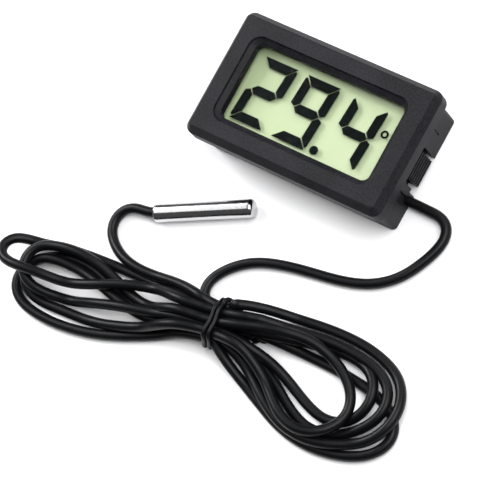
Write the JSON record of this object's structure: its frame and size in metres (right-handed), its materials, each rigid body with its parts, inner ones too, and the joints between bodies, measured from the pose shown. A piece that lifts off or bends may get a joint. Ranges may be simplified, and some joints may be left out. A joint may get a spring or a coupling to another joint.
{
  "type": "digital probe thermometer",
  "caption": "Panel-mount digital thermometer with a segment display, snap clips and a steel probe on a thin black cord tied in a hank.",
  "frame": {"origin": "middle of the housing's rear face, in the plane of the surface it lies on", "axes": "+X to the cable side of the display, +Y to the top of the display, +Z out of the display face"},
  "size_m": [0.0986, 0.0773, 0.0146],
  "materials": {
    "housing_plastic": "fine texture",
    "cover_plastic": "fine texture",
    "clip_plastic": "satin",
    "lcd_film": "gloss",
    "lcd_glass": "gloss",
    "lcd_ink": "matt",
    "lcd_backing": "matt",
    "holder_plastic": "satin",
    "zebra_rubber": "matt",
    "board": "satin",
    "epoxy": "gloss",
    "resistor": "satin",
    "ceramic": "matt",
    "can_steel": "satin",
    "contact_metal": "satin",
    "cell_steel": "polished",
    "wire_insulation": "satin",
    "probe_steel": "polished",
    "potting": "satin",
    "lead_wire": "satin",
    "cord_jacket": "satin",
    "tie_plastic": "satin"
  },
  "bodies": {
    "housing": {"front_housing": "housing_plastic", "rear_cover": "cover_plastic", "lcd_front_polariser": "lcd_film", "lcd_front_glass": "lcd_glass", "lcd_segments": "lcd_ink", "lcd_rear_glass": "lcd_glass", "lcd_reflector": "lcd_backing", "lcd_holder": "holder_plastic", "zebra_strip": "zebra_rubber", "main_pcb": "board", "chip_blob": "epoxy", "smd_resistors": "resistor", "smd_capacitors": "ceramic", "clock_crystal": "can_steel", "contact_negative": "contact_metal", "contact_positive": "contact_metal", "button_cell_1": "cell_steel", "button_cell_2": "cell_steel", "cable_grommet": "potting", "cable_inner": "cord_jacket", "sensor_wires": "wire_insulation", "probe_sleeve": "probe_steel", "probe_potting": "potting", "thermistor_bead": "epoxy", "thermistor_leads": "lead_wire", "cord_lead": "cord_jacket", "cord_tail": "cord_jacket", "cord_hank": "cord_jacket", "cord_tie": "tie_plastic"},
    "door": {"battery_door": "cover_plastic", "contact_bridge": "contact_metal"},
    "left_arm": {"clip_left": "clip_plastic"},
    "right_arm": {"clip_right": "clip_plastic"}
  },
  "joints": [
    {"name": "battery_door_slide", "type": "slide", "parent": "housing", "child": "door", "axis": [0, 1, 0], "range_m": [0, 0.014]},
    {"name": "clip_left_flex", "type": "hinge", "parent": "housing", "child": "left_arm", "pos_m": [-0.0211, 0, 0.00095], "axis": [0, 1, 0], "range_deg": [0, 5], "stiffness_Nm_per_rad": 0.1},
    {"name": "clip_right_flex", "type": "hinge", "parent": "housing", "child": "right_arm", "pos_m": [0.0211, 0, 0.00095], "axis": [0, -1, 0], "range_deg": [0, 5], "stiffness_Nm_per_rad": 0.1}
  ]
}
